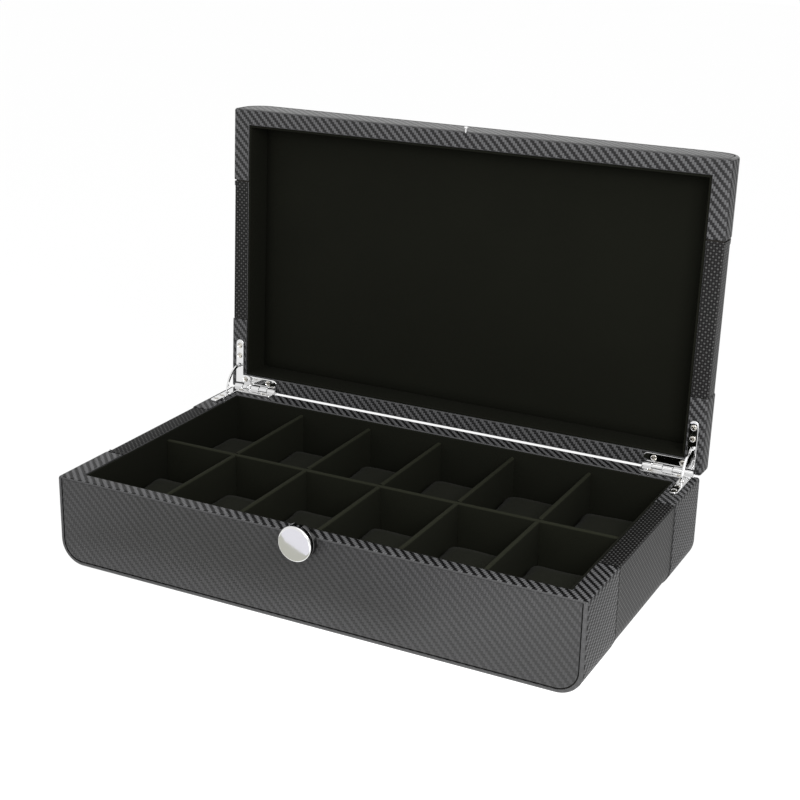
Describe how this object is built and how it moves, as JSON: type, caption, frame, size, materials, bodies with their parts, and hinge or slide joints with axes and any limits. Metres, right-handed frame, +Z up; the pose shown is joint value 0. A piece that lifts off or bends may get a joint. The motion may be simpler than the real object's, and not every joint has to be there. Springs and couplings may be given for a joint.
{
  "type": "watch storage box",
  "caption": "Lidded box for wristwatches: divided, cushioned compartments, hinged lid with corner quadrant hinges and a push-button catch, modelled open.",
  "frame": {"origin": "on the table under the middle of the base's footprint", "axes": "+X to the right along the long side, +Y from the front panel to the hinges, +Z up; the lid stands open at rest"},
  "size_m": [0.352, 0.2453, 0.2643],
  "materials": {
    "carbon_leatherette": "embossed twill weave, semi-gloss",
    "woven_leatherette": "fine checked emboss, matt",
    "suede_lining": "short velvet pile",
    "cushion_suede": "short velvet pile over foam",
    "felt": "felt",
    "fibreboard": "raw medium-density fibreboard",
    "chrome": "polished",
    "steel": "bright"
  },
  "bodies": {
    "base": {"base_felt": "felt", "base_bottom_board": "fibreboard", "base_front_board": "fibreboard", "base_rear_board": "fibreboard", "base_left_board": "fibreboard", "base_right_board": "fibreboard", "base_front_wrap": "carbon_leatherette", "base_middle_wrap": "woven_leatherette", "base_rear_wrap": "carbon_leatherette", "base_front_panel": "carbon_leatherette", "base_wall_lining": "suede_lining", "base_floor_lining": "suede_lining", "long_divider": "suede_lining", "cross_divider_1": "suede_lining", "cross_divider_2": "suede_lining", "cross_divider_3": "suede_lining", "cross_divider_4": "suede_lining", "cross_divider_5": "suede_lining", "cushion_front_1": "cushion_suede", "cushion_front_2": "cushion_suede", "cushion_front_3": "cushion_suede", "cushion_front_4": "cushion_suede", "cushion_front_5": "cushion_suede", "cushion_front_6": "cushion_suede", "cushion_rear_1": "cushion_suede", "cushion_rear_2": "cushion_suede", "cushion_rear_3": "cushion_suede", "cushion_rear_4": "cushion_suede", "cushion_rear_5": "cushion_suede", "cushion_rear_6": "cushion_suede", "base_hinge_leaf_left": "chrome", "base_hinge_leaf_right": "chrome", "hinge_pin_left": "steel", "hinge_pin_right": "steel", "base_hinge_screw_left_1": "chrome", "base_hinge_screw_left_2": "chrome", "base_hinge_screw_right_1": "chrome", "base_hinge_screw_right_2": "chrome", "button_housing": "chrome", "return_spring": "steel"},
    "lid": {"lid_frame": "fibreboard", "lid_top_board": "fibreboard", "lid_front_wrap": "carbon_leatherette", "lid_middle_wrap": "woven_leatherette", "lid_rear_wrap": "carbon_leatherette", "lid_front_panel": "carbon_leatherette", "lid_wall_lining": "suede_lining", "lid_pad": "suede_lining", "lid_stud": "chrome", "lid_hinge_leaf_left": "chrome", "lid_hinge_leaf_right": "chrome", "lid_hinge_screw_left_1": "chrome", "lid_hinge_screw_left_2": "chrome", "lid_hinge_screw_right_1": "chrome", "lid_hinge_screw_right_2": "chrome"},
    "left_stay": {"stay_left": "chrome"},
    "right_stay": {"stay_right": "chrome"},
    "button": {"push_button": "chrome", "stem_clip": "steel"}
  },
  "joints": [
    {"name": "lid_hinge", "type": "hinge", "parent": "base", "child": "lid", "pos_m": [0, 0.1, 0.06125], "axis": [1, 0, 0], "range_deg": [0, 92.3]},
    {"name": "left_stay_swing", "type": "hinge", "parent": "base", "child": "left_stay", "pos_m": [-0.1686, 0.1, 0.06125], "axis": [1, 0, 0], "range_deg": [0, 46.15]},
    {"name": "right_stay_swing", "type": "hinge", "parent": "base", "child": "right_stay", "pos_m": [0.1686, 0.1, 0.06125], "axis": [1, 0, 0], "range_deg": [0, 46.15]},
    {"name": "button_press", "type": "slide", "parent": "base", "child": "button", "axis": [0, 1, 0], "range_m": [0, 0.0015], "stiffness_N_per_m": 300, "springref_m": -0.001, "deforming": ["return_spring"]}
  ],
  "couplings": [
    {"joint": "left_stay_swing", "follows": "lid_hinge", "ratio": 0.5},
    {"joint": "right_stay_swing", "follows": "lid_hinge", "ratio": 0.5}
  ]
}
